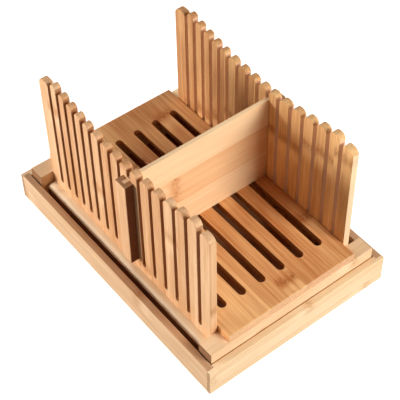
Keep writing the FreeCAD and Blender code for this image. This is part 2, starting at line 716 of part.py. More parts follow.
sub_parts = [
    tray_side_rail("tray_left_rail", LEFT),
    tray_side_rail("tray_right_rail", RIGHT),
    tray_end_rail("tray_front_rail", FRONT),
    tray_end_rail("tray_back_rail", BACK),
    tray_floor("tray_floor"),
    tray_corner_pins("tray_corner_pins"),
    slotted_deck("slotted_deck"),
    end_rail("front_end_rail", FRONT),
    end_rail("back_end_rail", BACK),
    deck_screws("deck_screws"),
    comb_plate("left_comb_plate", LEFT),
    comb_foot("left_comb_foot", LEFT),
    foot_screws("left_foot_screws", LEFT),
    comb_plate("right_comb_plate", RIGHT),
    comb_foot("right_comb_foot", RIGHT),
    foot_screws("right_foot_screws", RIGHT),
    divider_board("divider_board"),
    divider_post("left_post", LEFT),
    divider_post("right_post", RIGHT),
    post_pins("left_post_pins", LEFT),
    post_pins("right_post_pins", RIGHT),
]
doc.recompute()

for item in doc.Objects:
    if "Invalid" in item.State or "Error" in item.State:
        raise RuntimeError(f"{item.Name} failed to build: {item.State}")
for sub_part in sub_parts:
    shape = sub_part.Shape
    if shape.isNull() or not shape.isValid():
        raise RuntimeError(f"{sub_part.Label} has no valid shape")

os.makedirs("parts", exist_ok=True)
for sub_part in sub_parts:
    shape = sub_part.Shape
    shape.exportStep(f"parts/{sub_part.Label}.step")
    box = shape.BoundBox
    print(f"{sub_part.Label}: {len(shape.Solids)} solid(s), {shape.Volume / 1000:.1f} cm3, "
          f"x {box.XMin:.1f}..{box.XMax:.1f}, y {box.YMin:.1f}..{box.YMax:.1f}, "
          f"z {box.ZMin:.1f}..{box.ZMax:.1f}")
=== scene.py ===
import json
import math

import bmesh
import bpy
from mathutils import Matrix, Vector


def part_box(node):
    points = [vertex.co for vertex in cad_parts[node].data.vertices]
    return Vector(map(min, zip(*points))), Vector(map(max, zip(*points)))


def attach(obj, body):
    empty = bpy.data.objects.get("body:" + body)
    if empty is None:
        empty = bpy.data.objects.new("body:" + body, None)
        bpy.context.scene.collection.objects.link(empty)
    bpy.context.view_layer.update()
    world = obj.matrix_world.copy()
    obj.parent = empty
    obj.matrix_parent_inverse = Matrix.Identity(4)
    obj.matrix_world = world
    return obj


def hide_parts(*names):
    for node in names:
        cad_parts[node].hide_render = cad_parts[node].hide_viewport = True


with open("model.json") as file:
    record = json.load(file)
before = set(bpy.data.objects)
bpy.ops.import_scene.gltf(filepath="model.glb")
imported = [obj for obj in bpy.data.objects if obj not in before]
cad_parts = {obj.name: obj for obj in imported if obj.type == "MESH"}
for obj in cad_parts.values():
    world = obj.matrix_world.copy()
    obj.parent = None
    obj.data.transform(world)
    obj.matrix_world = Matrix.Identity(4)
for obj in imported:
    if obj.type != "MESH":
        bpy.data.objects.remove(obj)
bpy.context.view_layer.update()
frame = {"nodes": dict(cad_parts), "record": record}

# %% [markdown]
# # A bamboo bread slicer guide
#
# The slicer is a slotted deck on two end rails, set down into a crumb tray.  Two slotted combs stand
# beside the deck and guide the knife, and a divider board between them holds the loaf.  All of it is
# strip bamboo: boards glued up from split canes, planed, sawn, lightly eased at the edges and oiled.
#
# The construction model already has every board at its real size, so this script adds what a
# construction model leaves out: eased edges, grain, glue lines, knuckles and light.

MM = 0.001


# %% [markdown]
# ## Node trees that read like sums
#
# Both Geometry Nodes and shaders work sums out with Math nodes, and a long sum soon turns into a web
# of boxes.  A Python class can stand for "a number that flows through the tree": its plus and minus
# signs add the Math nodes, so a tree can be written, and read, as a formula.

# %% A number in a node tree
class Flow:
    """A number that flows through a node tree; every operation on it adds one Math node."""

    def __init__(self, socket):
        self.socket = socket

    def math(self, operation, *others):
        return math_node(self.socket.id_data, operation, self, *others)

    def __add__(self, other):
        return self.math("ADD", other)

    def __sub__(self, other):
        return self.math("SUBTRACT", other)

    def __mul__(self, other):
        return self.math("MULTIPLY", other)

    def __truediv__(self, other):
        return self.math("DIVIDE", other)

    def __rsub__(self, other):
        return math_node(self.socket.id_data, "SUBTRACT", other, self)

    __radd__ = __add__

    def __mod__(self, other):
        return self.math("FLOORED_MODULO", other)

    def floor(self):
        return self.math("FLOOR")

    def between(self, low, high):
        return self.math("MAXIMUM", low).math("MINIMUM", high)

    def below(self, limit):
        return self.math("LESS_THAN", limit)

    def above(self, limit):
        return self.math("GREATER_THAN", limit)

    def choose(self, when_one, when_zero):
        """The first value where this number is 1, and the second where it is 0."""
        return self * when_one + (1 - self) * when_zero


# %% Nodes and the links between them
def feed(slot, value):
    """Link a flowing number or a socket to an input, or write a plain value into it."""
    if isinstance(value, Flow):
        value = value.socket
    if isinstance(value, bpy.types.NodeSocket):
        slot.id_data.links.new(value, slot)
    else:
        slot.default_value = value


def math_node(tree, operation, *values):
    node = tree.nodes.new("ShaderNodeMath")
    node.operation = operation
    for slot, value in zip(node.inputs, values):
        feed(slot, value)
    return Flow(node.outputs[0])


def add_node(tree, kind, settings=None, **inputs):
    """A node with its settings and its inputs, named as Blender names them, in lower case."""
    node = tree.nodes.new(kind)
    for key, value in (settings or {}).items():
        setattr(node, key, value)
    for slot in node.inputs:
        key = slot.name.lower().replace(" ", "_")
        if key in inputs and slot.enabled:
            feed(slot, inputs.pop(key))
    if inputs:
        raise ValueError(f"{kind} has no input {sorted(inputs)}")
    return node


def join_xyz(tree, x, y, z):
    return add_node(tree, "ShaderNodeCombineXYZ", x=x, y=y, z=z).outputs[0]


# %% [markdown]
# ## Strip bamboo
#
# A bamboo cane is split into strips about twenty millimetres wide, boiled, dried, planed and glued
# side by side.  So a board shows straight fibres along it, a slightly different tone from strip to
# strip, a hair-thin glue line between strips, and every so often a knuckle, where the cane had its
# ring: a short dark band with paler wood beside it.  Across the ends the cut fibres drink more oil,
# so end grain is darker and dotted.  The walls that a saw or a router leaves are darker too.  The
# same tone for the faces across the strips also carries painted shade: in the slots, on the sides
# of the feet and on the posts' front and back.  On the right comb it is pale, as painted light.
#
# A picture could be wrapped round each board, but it would stretch and repeat.  A procedural
# material is worked out from the place in the board instead, so the grain runs through the wood and
# the end grain appears by itself wherever a face points along the fibres.

# %% Colour, noise and chance
AXES = "XYZ"


def srgb(red, green, blue):
    """A colour written as on a colour picker, 0 to 255, as the linear light that shaders use."""
    def linear(value):
        value /= 255
        return value / 12.92 if value <= 0.04045 else ((value + 0.055) / 1.055) ** 2.4
    return (linear(red), linear(green), linear(blue), 1.0)


def noise(tree, x, y, z, detail=2.0):
    """Smooth noise, 0 to 1, at a place counted in noise cells."""
    node = add_node(tree, "ShaderNodeTexNoise", vector=join_xyz(tree, x, y, z), scale=1.0,
                    detail=detail)
    return Flow(node.outputs["Fac"])


def chance(tree, first, second):
    """A random number, 0 to 1, that depends on two whole numbers."""
    node = add_node(tree, "ShaderNodeTexWhiteNoise", {"noise_dimensions": "2D"},
                    vector=join_xyz(tree, first, second, 0.0))
    return Flow(node.outputs["Value"])


def bell(distance, width):
    """1 where the distance is 0, falling smoothly to 0 within a few widths."""
    ratio = distance / width
    return (ratio * ratio * -1.0).math("EXPONENT")


def mix_colour(tree, share, first, second):
    """The first colour where the share is 0 and the second where it is 1, as an output socket."""
    node = tree.nodes.new("ShaderNodeMix")
    node.data_type = "RGBA"
    # The node keeps a pair of sockets for each kind of value; the pair for colours is 6 and 7.
    factor, start, end = node.inputs[0], node.inputs[6], node.inputs[7]
    feed(factor, share)
    feed(start, first)
    feed(end, second)
    return node.outputs[2]


# %% [markdown]
# ### The marks in the wood
#
# Each mark gets a small function that says how strong it is at a point of the board, from 0 to 1.
# The noise behind them is drawn out along the fibres, because nothing in bamboo runs across them
# but the knuckles.  A knuckle is not a painted line: it is a row of short dashes, where the fibres
# twist, so one more noise breaks it up.

# %% Where a point lies in its board, and which way it faces
def board_place(tree, grain, across):
    """A point's place along the fibres, across the strips and into the board."""
    third = next(axis for axis in AXES if axis not in (grain, across))
    place = add_node(tree, "ShaderNodeSeparateXYZ",
                     vector=tree.nodes.new("ShaderNodeTexCoord").outputs["Object"])
    return [Flow(place.outputs[axis]) for axis in (grain, across, third)]


def facing(tree, axis):
    """1 where a face looks along the axis, forwards or back, and 0 where it lies along it."""
    normal = add_node(tree, "ShaderNodeSeparateXYZ",
                      vector=tree.nodes.new("ShaderNodeTexCoord").outputs["Normal"])
    return Flow(normal.outputs[axis]).math("ABSOLUTE")


# %% Canes, fibres and streaks
FIBRE_PITCH = 0.9 * MM
STREAK_PITCH = 3.2 * MM
DRAWN_OUT = 40
STREAK_SHIFT_PER_CANE = 30
CLOUD_LENGTH = 60 * MM
CLOUD_WIDTH = 18 * MM


def deal_canes(tree, strip_number, seed, chosen):
    """How deep each strip's colour is: dealt out by chance, apart from the chosen strips."""
    depth = chance(tree, strip_number, seed)
    for number, chosen_depth in dict(chosen).items():
        is_chosen = (strip_number - number).math("ABSOLUTE").below(0.5)
        depth = is_chosen.choose(chosen_depth, depth)
    return depth


def fibres_and_streaks(tree, place, cane):
    """Two noises drawn out along the grain: hair-fine fibres, and streaks a few fibres wide."""
    along, side, deep_in = place
    fibre = noise(tree, along / (FIBRE_PITCH * DRAWN_OUT), side / FIBRE_PITCH,
                  deep_in / FIBRE_PITCH)
    streak_along = along / (STREAK_PITCH * DRAWN_OUT) + cane * STREAK_SHIFT_PER_CANE
    streak = noise(tree, streak_along, side / STREAK_PITCH, deep_in / STREAK_PITCH, detail=3.0)
    return fibre, streak


def clouds(tree, place, seed):
    """Broad soft patches that run over several strips."""
    along, side, deep_in = place
    return noise(tree, along / CLOUD_LENGTH + seed, side / CLOUD_WIDTH, deep_in / CLOUD_WIDTH)


# %% Knuckles
KNUCKLE_SPACING = 300 * MM
KNUCKLE_WIDTH = 4.5 * MM
RING_SHIFT_PER_CANE = 0.05
KNUCKLE_WANDER = 8 * MM
WANDER_LENGTH = 9 * MM
WANDER_WIDTH = 6 * MM
DASH_LENGTH = 3.4 * MM
DASH_WIDTH = 1.7 * MM
DASH_FLOOR = 0.38
DASH_CONTRAST = 3.4
PALE_BAND_AWAY = 12 * MM
PALE_BAND_WIDTH = 8 * MM
DEEP_BAND_WIDTH = 6 * MM


def rings_passed(along, shift, strip_number, step, cane):
    """How many rings of its cane a point has passed; every strip counts from its own start."""
    return ((along + shift) / KNUCKLE_SPACING + strip_number * step
            + cane * RING_SHIFT_PER_CANE)


def knuckle_marks(tree, place, rings):
    """The knuckle's dark dashes, and how much paler (or, below 0, deeper) the wood is round it."""
    along, side, deep_in = place
    wander = noise(tree, along / WANDER_LENGTH, side / WANDER_WIDTH, deep_in / WANDER_WIDTH) - 0.5
    to_ring = (rings % 1.0 - 0.5) * KNUCKLE_SPACING + wander * KNUCKLE_WANDER
    dashes = noise(tree, along / DASH_LENGTH, side / DASH_WIDTH, deep_in / DASH_WIDTH)
    dark = ((dashes - DASH_FLOOR) * DASH_CONTRAST).between(0.0, 1.0)
    flare = bell(to_ring + PALE_BAND_AWAY, PALE_BAND_WIDTH) - bell(to_ring, DEEP_BAND_WIDTH)
    return bell(to_ring, KNUCKLE_WIDTH) * dark, flare


# %% Glue lines and pores
GLUE_LINE = 0.22 * MM
PORE_PITCH = 0.9 * MM
PORE_RADIUS = 0.22


def glue_lines(strips_passed, strip):
    """1 on the joint between two strips, 0 elsewhere."""
    to_joint = (0.5 - (strips_passed % 1.0 - 0.5).math("ABSOLUTE")) * strip
    return bell(to_joint, GLUE_LINE)


def pores(tree, place):
    """1 in the dots that cut fibres show on an end, 0 between them."""
    _, side, deep_in = place
    cells = add_node(tree, "ShaderNodeTexVoronoi", scale=1.0,
                     vector=join_xyz(tree, side / PORE_PITCH, deep_in / PORE_PITCH, 0.0))
    return Flow(cells.outputs["Distance"]).below(PORE_RADIUS)


# %% Faces that were cut, and faces that carry painted light and shade
END_FACES_FROM = 0.5
END_FACES_RISE = 2.5
SQUARELY = 0.97


def end_faces(tree, grain):
    """1 on a board's ends and 0 on its sides, with a short rise over the eased edge between."""
    return ((facing(tree, grain) - END_FACES_FROM) * END_FACES_RISE).between(0.0, 1.0)


def faces_across(tree, across, side, within):
    """Which faces look across the strips: those near the board's middle, and those beyond."""
    looks_across = facing(tree, across).above(SQUARELY)
    # The first mask marks sawn walls, and on some boards it also places painted shade and painted
    # light.
    sawn = looks_across * side.math("ABSOLUTE").below(within)
    return sawn, looks_across - sawn


# %% [markdown]
# ### The material
#
# The marks now come together.  Streaks, fibres and clouds move the colour between a pale and a deep
# tone, the knuckles and glue lines are mixed over it, and last come the faces that were cut: the
# ends, and the walls and edges that look across the strips.  Their tone is partly the cut wood and
# partly painted shade, and on the right comb painted light and a painted highlight.  The same marks
# drive the roughness and a very fine relief.  It is one function, called once for each kind of
# board, so that all boards are cut from the same wood and still differ.

# %% Tones and depths of the marks
KNUCKLE_BROWN = srgb(150, 84, 38)
END_GRAIN_BROWN = srgb(128, 82, 50)
# Partly painted shade: the brown of sawn walls, also darkening the left comb's slots as shade.
SAWN_AND_SHADE_BROWN = srgb(146, 90, 50)
# Painted highlight: the right comb's end faces are paled towards this cream.
HIGHLIGHT_CREAM = srgb(255, 230, 192)
EVERYWHERE = 1.0

STREAK_DEPTH = 1.2
FIBRE_DEPTH = 1.0
CLOUD_DEPTH = 0.7
FLARE_DEPTH = 0.35
GLUE_DEPTH = 0.14
PORE_DEPTH = 0.4

# %% Roughness and relief
PLANED_ROUGHNESS = 0.44
FIBRE_ROUGHNESS = 0.14
CUT_ROUGHNESS = 0.14
OILED_SPECULAR = 0.12
RELIEF_HEIGHT = 0.15 * MM
RELIEF_STRENGTH = 0.35
FIBRE_RELIEF = 0.5
STREAK_RELIEF = 0.3
KNUCKLE_RELIEF = 0.5
GLUE_RELIEF = 0.8
PORE_RELIEF = 0.5


def fine_relief(tree, height):
    """Turn a height into a normal that makes the surface look uneven."""
    bump = add_node(tree, "ShaderNodeBump", strength=RELIEF_STRENGTH, distance=RELIEF_HEIGHT,
                    height=height)
    return bump.outputs["Normal"]


# %% The bamboo itself
def bamboo(name, grain, across, strip, pale, deep, start=0.0, seed=0, canes=(), strip_contrast=0.55,
           streakiness=1.0, knuckle_shift=0.0, knuckle_step=0.618, knuckle_strength=0.3,
           sawn_and_painted_light_within=0.0, sawn_and_painted_light_depth=0.0, sawn_and_painted_light_tone=SAWN_AND_SHADE_BROWN, highlight_paleness=0.0,
           end_depth=0.3, end_tone=END_GRAIN_BROWN):
    """Strip bamboo whose fibres run along one axis and whose strips lie side by side along another.

    start is where strip 0 begins.  seed deals out the canes, canes lists some as {strip: depth of
    colour}.  knuckle_step is how far the knuckles move from strip to strip, as a share of their
    spacing.  The faces that look across the strips, such as the walls of sawn slots and a board's
    long edges, take on sawn_and_painted_light_tone by the share sawn_and_painted_light_depth, as far
    as sawn_and_painted_light_within from the middle, and beyond that they pale by highlight_paleness.
    sawn_and_painted_light_tone is partly the darker sawn wood and partly painted shade, and where it
    is pale it is painted light; highlight_paleness is a painted highlight.
    The ends take on end_tone by end_depth.
    """
    material = bpy.data.materials.new(name)
    material.use_nodes = True
    tree = material.node_tree
    shader = tree.nodes["Principled BSDF"]
    place = board_place(tree, grain, across)
    along, side, _ = place

    strips_passed = (side - start) / strip
    strip_number = strips_passed.floor()
    cane = deal_canes(tree, strip_number, seed, canes)
    fibre, streak = fibres_and_streaks(tree, place, cane)
    rings = rings_passed(along, knuckle_shift, strip_number, knuckle_step, cane)
    knuckle, flare = knuckle_marks(tree, place, rings)
    glue = glue_lines(strips_passed, strip)

    lines = (streak - 0.5) * STREAK_DEPTH + (fibre - 0.5) * FIBRE_DEPTH
    tone = (cane * strip_contrast + (1 - strip_contrast) * 0.5 + lines * streakiness
            + (clouds(tree, place, seed) - 0.5) * CLOUD_DEPTH - flare * FLARE_DEPTH)
    colour = mix_colour(tree, tone.between(0.0, 1.0), pale, deep)
    marks = knuckle * knuckle_strength + glue * GLUE_DEPTH
    colour = mix_colour(tree, marks.between(0.0, 1.0), colour, KNUCKLE_BROWN)

    pore = pores(tree, place)
    cut_across = end_faces(tree, grain)
    end_colour = mix_colour(tree, end_depth + pore * PORE_DEPTH, colour, end_tone)
    colour = mix_colour(tree, cut_across, colour, end_colour)
    sawn = 0.0
    if sawn_and_painted_light_within:
        sawn, edge = faces_across(tree, across, side, sawn_and_painted_light_within)
        # Painted highlight: the faces beyond the middle are paled by highlight_paleness.
        colour = mix_colour(tree, edge * highlight_paleness, colour, HIGHLIGHT_CREAM)
        # The sawn tone is partly sawn wood and partly painted shade; where it is pale it is painted
        # light.
        colour = mix_colour(tree, sawn * sawn_and_painted_light_depth, colour, sawn_and_painted_light_tone)

    roughness = PLANED_ROUGHNESS + fibre * FIBRE_ROUGHNESS + (cut_across + sawn) * CUT_ROUGHNESS
    relief = (fibre * FIBRE_RELIEF + streak * STREAK_RELIEF + knuckle * KNUCKLE_RELIEF
              - glue * GLUE_RELIEF - cut_across * pore * PORE_RELIEF)
    feed(shader.inputs["Base Color"], colour)
    feed(shader.inputs["Roughness"], roughness)
    feed(shader.inputs["Normal"], fine_relief(tree, relief))
    shader.inputs["Specular IOR Level"].default_value = OILED_SPECULAR
    print(f"{name}: fibres along {grain}, {strip / MM:.0f} mm strips along {across}")
    return material


# %% [markdown]
# ## Boards with eased edges
#
# A board that has been through a sander has no razor edge: each corner is rubbed down by half a
# millimetre, and that is what catches the light.  A bevel in the shader would fake it, but not in
# other programs.  Here the construction solid is copied, its triangles are merged back into flat
# faces, and a Bevel modifier rounds every sharp edge.  A Weighted Normal modifier then lets the
# largest face at each corner decide how the light falls on it, so that flat faces look flat.

# %% Ease the edges of a piece
EASED_FROM = math.radians(32)
EASE_STEPS = 2
SMOOTH_UP_TO = math.radians(50)
LARGEST_FACE_DECIDES = 100


def plain(piece):
    """Turn the piece, modifiers and all, into a plain mesh."""
    graph = bpy.context.evaluated_depsgraph_get()
    mesh = bpy.data.meshes.new_from_object(piece.evaluated_get(graph), depsgraph=graph)
    piece.modifiers.clear()
    piece.data = mesh
    return piece


def ease(piece, width):
    """Round the piece's sharp edges by a width, and shade the flat faces flat."""
    piece.data.shade_smooth()
    bevel = piece.modifiers.new("Eased edges", "BEVEL")
    bevel.width = width
    bevel.segments = EASE_STEPS
    bevel.limit_method = "ANGLE"
    bevel.angle_limit = EASED_FROM
    bevel.use_clamp_overlap = True
    plain(piece)
    piece.data.set_sharp_from_angle(angle=SMOOTH_UP_TO)
    weigh = piece.modifiers.new("Flat shading", "WEIGHTED_NORMAL")
    weigh.weight = LARGEST_FACE_DECIDES
    weigh.keep_sharp = True
    plain(piece)


# %% [markdown]
# ### Taking a construction node's place
#
# A finished piece is a new mesh, and nothing says yet which part of the slicer it is.  The record
# of the construction model knows the body that each node moves with, and its material slot.  The
# piece takes over the body and is given a bamboo of its own, and the plain node is hidden.

# %% Let a piece take a construction node's place
def body_of_node(node):
    bodies = frame["record"]["behaviour"]["bodies"]
    return next(body for body, members in bodies.items() if node in members)


def new_piece(name, mesh):
    piece = bpy.data.objects.new(name, mesh)
    bpy.context.scene.collection.objects.link(piece)
    return piece


def stand_in(piece, node, material):
    """The piece takes a construction node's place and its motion."""
    piece.data.materials.clear()
    piece.data.materials.append(material)
    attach(piece, body_of_node(node))
    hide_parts(node)
    print(f"{piece.name}: {len(piece.data.polygons)} faces")


# %% Copy a construction node and ease it
SAME_CORNER = 0.002 * MM
SAME_PLANE = math.radians(0.4)


def eased_board(node, material, width):
    """A copy of a construction node with flat faces and eased edges."""
    mesh = frame["nodes"][node].data.copy()
    mesh.name = node + "_board"
    shape = bmesh.new()
    shape.from_mesh(mesh)
    bmesh.ops.remove_doubles(shape, verts=shape.verts, dist=SAME_CORNER)
    bmesh.ops.dissolve_limit(shape, angle_limit=SAME_PLANE, verts=shape.verts,
                             edges=shape.edges)
    shape.to_mesh(mesh)
    shape.free()
    piece = new_piece(node + "_board", mesh)
    ease(piece, width)
    stand_in(piece, node, material)


# %% [markdown]
# ## The crumb tray
#
# Four walls, rabbeted and dowelled at the corners, round a thin panel that slides in their grooves.
# The walls' fibres run along them.  At each corner the short wall laps over the long one, so a
# narrow strip of its darker end shows beside the long wall.  The short walls are the palest bamboo
# of the slicer, and the long walls' top edges are browner than their sides.

# %% Finish the tray
TRAY_EASE = 0.5 * MM
FLOOR_EASE = 0.3 * MM

tray_long_bamboo = bamboo("bamboo_tray_long", "Y", "Z", 17 * MM, srgb(233, 198, 158),
                          srgb(204, 157, 113), start=-2 * MM, seed=3, end_depth=0.6,
                          sawn_and_painted_light_within=EVERYWHERE, sawn_and_painted_light_depth=0.45, sawn_and_painted_light_tone=srgb(158, 96, 54))
tray_short_bamboo = bamboo("bamboo_tray_short", "X", "Z", 13 * MM, srgb(253, 224, 183),
                           srgb(240, 196, 146), start=-4 * MM, seed=7, knuckle_shift=60 * MM,
                           end_depth=0.6)
# The floor panel is a darker brown than the walls as painted shade: it lies in the shadow under the
# deck.
tray_floor_bamboo = bamboo("bamboo_tray_floor", "Y", "X", 24 * MM, srgb(190, 124, 74),
                           srgb(152, 94, 54), seed=11)

for node in ("tray_left_rail", "tray_right_rail"):
    eased_board(node, tray_long_bamboo, TRAY_EASE)
for node in ("tray_front_rail", "tray_back_rail"):
    eased_board(node, tray_short_bamboo, TRAY_EASE)
eased_board("tray_floor", tray_floor_bamboo, FLOOR_EASE)

# %% [markdown]
# ## The deck on its end rails
#
# The deck is the part that takes the knife, so it is made of the darker, caramel-coloured bamboo
# that comes from steaming the strips longer.  Its strips run the long way, like the crumb slots
# that are routed through it.  Chance alone would scatter pale and deep strips over it, so the
# strips are listed: pale ones on the left, deep ones in the middle and on the right.

# %% Finish the deck and its rails
DECK_EASE = 0.4 * MM
RAIL_EASE = 0.5 * MM
DECK_CANES = {-4: 0.1, -3: 0.05, -2: 0.05, -1: 0.4, 0: 0.8, 1: 0.85, 2: 0.8, 3: 0.8}

# The walls of the crumb slots take a dark brown that is partly routed wood and partly painted shade,
# for little light gets into the slots.
deck_bamboo = bamboo("bamboo_deck", "Y", "X", 20 * MM, srgb(244, 191, 129), srgb(192, 120, 67),
                     start=-5 * MM, canes=DECK_CANES, knuckle_shift=-42 * MM, knuckle_strength=0.8,
                     end_depth=0.5, end_tone=srgb(236, 196, 160),
                     sawn_and_painted_light_within=65 * MM, sawn_and_painted_light_depth=0.65, sawn_and_painted_light_tone=srgb(134, 72, 18))
rail_bamboo = bamboo("bamboo_rails", "X", "Z", 14 * MM, srgb(250, 218, 178), srgb(232, 186, 138),
                     start=4 * MM, seed=5, end_depth=0.88)

eased_board("slotted_deck", deck_bamboo, DECK_EASE)
for node in ("front_end_rail", "back_end_rail"):
    eased_board(node, rail_bamboo, RAIL_EASE)

# %% [markdown]
# ## The combs
#
# Each comb is one board, sawn sixteen times from the top and then rounded finger by finger.  The
# saw cuts come in three runs: five thin slices at the back, five medium ones, five thick ones at
# the front.  The fingertips follow a hollow arc, with a lower finger at each end.
#
# One could draw the outline by hand, or cut it out of a block with booleans.  But it follows a
# rule, and Geometry Nodes can walk along it: a line of points is numbered, the number says which
# finger a point belongs to and where on it, and one formula gives its place.  The points become a
# curve, the curve a face, and the face a board.  Change a slice and the whole comb follows.

# %% A tree with named sizes
def new_recipe(name, sizes):
    """An empty Geometry Nodes tree and its inputs: sizes by name, and a material."""
    tree = bpy.data.node_groups.new(name, "GeometryNodeTree")
    for size in sizes:
        tree.interface.new_socket(size, in_out="INPUT", socket_type="NodeSocketFloat")
    tree.interface.new_socket("Material", in_out="INPUT", socket_type="NodeSocketMaterial")
    tree.interface.new_socket("Geometry", in_out="OUTPUT", socket_type="NodeSocketGeometry")
    given = tree.nodes.new("NodeGroupInput")
    inputs = {socket.name: Flow(socket) for socket in given.outputs if socket.name}
    return tree, inputs


def end_recipe(tree, inputs, geometry):
    """Realize what was instanced, give it its material and hand it out."""
    real = add_node(tree, "GeometryNodeRealizeInstances", geometry=geometry)
    painted = add_node(tree, "GeometryNodeSetMaterial", geometry=real.outputs[0],
                       material=inputs["Material"])
    result = tree.nodes.new("NodeGroupOutput")
    feed(result.inputs[0], painted.outputs[0])
    print(f"{tree.name}: a tree of {len(tree.nodes)} nodes")
    return tree


def follow_recipe(tree, name, sizes, material):
    """Run a tree with these sizes and keep the result as a plain mesh."""
    piece = new_piece(name, bpy.data.meshes.new(name))
    modifier = piece.modifiers.new("Recipe", "NODES")
    modifier.node_group = tree
    values = dict(sizes, Material=material)
    for item in tree.interface.items_tree:
        if item.in_out == "INPUT":
            modifier[item.identifier] = values[item.name]
    return plain(piece)


# %% The comb's sizes
COMB_SIZES = {
    "Thin slice": 12.0 * MM,
    "Medium slice": 14.0 * MM,
    "Thick slice": 16.0 * MM,
    "Slot width": 4.2 * MM,
    "Slot floor": 39.0 * MM,
    "Back finger": 14.7 * MM,
    "Arc low": 154.5 * MM,
    "Arc radius": 366.0 * MM,
    "End finger top": 163.0 * MM,
    "End round": 7.0 * MM,
    "Comb end": 0.0,
    "Bottom": 0.0,
    "Inner face": 0.0,
    "Thickness": 0.0,
}
SLICES_PER_ZONE = 5
FINGERS = 3 * SLICES_PER_ZONE + 2
TIP_ROUND_PER_WIDTH = 0.46


# %% Where the slots and fingers lie
def slot_middle(sizes, number):
    """Where a slot lies along the comb; slot 0 is the back one."""
    done = [(number - zone * SLICES_PER_ZONE).between(0.0, SLICES_PER_ZONE) for zone in range(3)]
    first = sizes["Comb end"] - sizes["Back finger"] - sizes["Slot width"] / 2
    return (first - done[0] * sizes["Thin slice"] - done[1] * sizes["Medium slice"]
            - done[2] * sizes["Thick slice"])


def finger_sides(sizes, finger, is_first, is_last):
    """Where a finger's back and front sides lie along the comb."""
    half_slot = sizes["Slot width"] / 2
    back = is_first.choose(sizes["Comb end"], slot_middle(sizes, finger - 1) - half_slot)
    front = is_last.choose(sizes["Comb end"] * -1.0, slot_middle(sizes, finger) + half_slot)
    return back, front


# %% [markdown]
# ### The outline of a comb
#
# Every finger gets the same number of points, so that a point's number is enough to place it: two
# quarter rounds for the fingertip and a half round for the floor of the slot in front of it.  The
# last finger has no slot in front of it, and its points run along the underside instead.

# %% The outline, point by point
QUARTER_POINTS = 7
SLOT_FLOOR_POINTS = 9
POINTS_PER_FINGER = 2 * QUARTER_POINTS + SLOT_FLOOR_POINTS
ROUNDING_GUARD = 0.0001


def tip_point(sizes, step, finger, is_first, is_last):
    """A point of a fingertip: the first steps round its back corner, the next its front one."""
    back, front = finger_sides(sizes, finger, is_first, is_last)
    width = back - front
    middle = (back + front) / 2
    arc_top = sizes["Arc low"] + middle * middle / (sizes["Arc radius"] * 2)
    top = (is_first + is_last).choose(sizes["End finger top"], arc_top)
    inner_round = sizes["End round"] / 2
    tip_round = width * TIP_ROUND_PER_WIDTH
    back_round = is_first.choose(sizes["End round"], is_last.choose(inner_round, tip_round))
    front_round = is_last.choose(sizes["End round"], is_first.choose(inner_round, tip_round))

    quarter = math.pi / 2 / (QUARTER_POINTS - 1)
    up = step * quarter
    down = (step - QUARTER_POINTS) * quarter
    on_back = step.below(QUARTER_POINTS - 0.5)
    y = on_back.choose(back - back_round + back_round * up.math("COSINE"),
                       front + front_round - front_round * down.math("SINE"))
    z = on_back.choose(top - back_round + back_round * up.math("SINE"),
                       top - front_round + front_round * down.math("COSINE"))
    return y, z


def floor_point(sizes, step, finger, is_last):
    """A point of the round floor of a finger's slot; the last finger has the underside instead."""
    half_slot = sizes["Slot width"] / 2
    way = (step - 2 * QUARTER_POINTS) / (SLOT_FLOOR_POINTS - 1)
    half_turn = way * math.pi
    y = is_last.choose(sizes["Comb end"] * (way * 2 - 1),
                       slot_middle(sizes, finger) + half_slot * half_turn.math("COSINE"))
    z = is_last.choose(sizes["Bottom"], sizes["Slot floor"] + half_slot
                       - half_slot * half_turn.math("SINE"))
    return y, z


def outline_point(tree, sizes, index):
    """The place of a numbered point of the outline, laid flat: X along the comb, Y its height."""
    finger = (index / POINTS_PER_FINGER + ROUNDING_GUARD).floor()
    step = index - finger * POINTS_PER_FINGER
    is_first = finger.below(0.5)
    is_last = finger.above(FINGERS - 1.5)
    on_floor = step.above(2 * QUARTER_POINTS - 0.5)
    tip_y, tip_z = tip_point(sizes, step, finger, is_first, is_last)
    floor_y, floor_z = floor_point(sizes, step, finger, is_last)
    return join_xyz(tree, on_floor.choose(floor_y, tip_y), on_floor.choose(floor_z, tip_z), 0.0)


# %% [markdown]
# ### From the outline to a board
#
# The outline is laid flat, because Fill Curve fills curves that lie flat.  Extruding the face moves
# it up and leaves its old place open, so a flipped copy of the face closes the underside.  The last
# step stands the board up and moves it to the comb's place.

# %% From the outline to a board
SAME_POINT = 0.001 * MM


